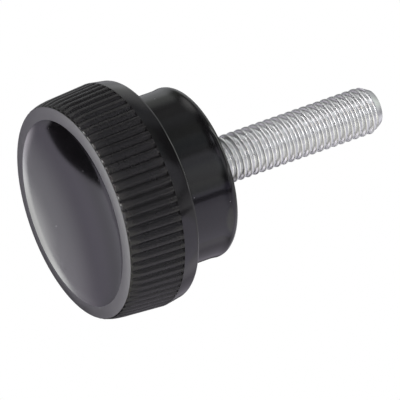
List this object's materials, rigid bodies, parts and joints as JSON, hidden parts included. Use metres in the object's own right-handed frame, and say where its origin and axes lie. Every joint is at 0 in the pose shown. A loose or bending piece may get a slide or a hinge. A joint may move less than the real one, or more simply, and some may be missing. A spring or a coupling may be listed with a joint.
{
  "type": "knurled knob",
  "caption": "Round black moulded knob with a fluted rim, a dished face and a short hub, on a projecting threaded steel stud for clamping or adjusting by hand.",
  "frame": {"origin": "centre of the face rim, which is the bottom of the part when it stands on its head", "axes": "+Z along the screw stud, from the face to the tip; a ridge of the flutes is not clocked to anything"},
  "size_m": [0.0276, 0.0276, 0.0417],
  "materials": {
    "thermoset": "black moulded thermoset, glossy as it leaves the polished mould",
    "zinc_steel": "bright zinc-plated rolled thread"
  },
  "bodies": {
    "root": {"knob_body": "thermoset", "threaded_stud": "zinc_steel"}
  },
  "joints": []
}
